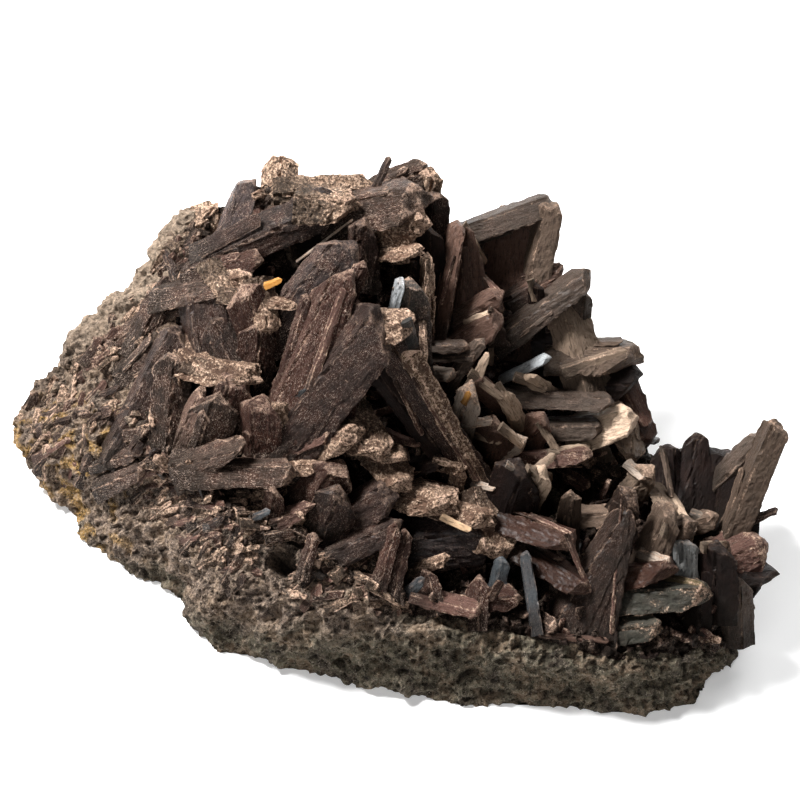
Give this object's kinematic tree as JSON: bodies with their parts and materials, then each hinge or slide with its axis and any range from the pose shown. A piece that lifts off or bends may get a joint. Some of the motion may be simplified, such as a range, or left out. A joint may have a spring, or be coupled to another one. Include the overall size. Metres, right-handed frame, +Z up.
{
  "type": "mineral specimen",
  "caption": "Brown axinite blades grown over the sloping face of a lump of grainy rock that rests on its flat underside",
  "frame": {"origin": "Middle of the specimen's bounding box in plan, on the flat underside that it rests on", "axes": "+Z up from the underside; +X to the right as the crystal face is seen, along the specimen's length; +Y from the low front rim towards the high back of the rock"},
  "size_m": [0.1254, 0.0839, 0.0476],
  "materials": {
    "grainy_rock": "rough, grainy and pitted",
    "axinite_brown": "dusty satin with glassy faces"
  },
  "bodies": {
    "root": {"matrix": "grainy_rock", "crystal_cluster": "axinite_brown"}
  },
  "joints": []
}
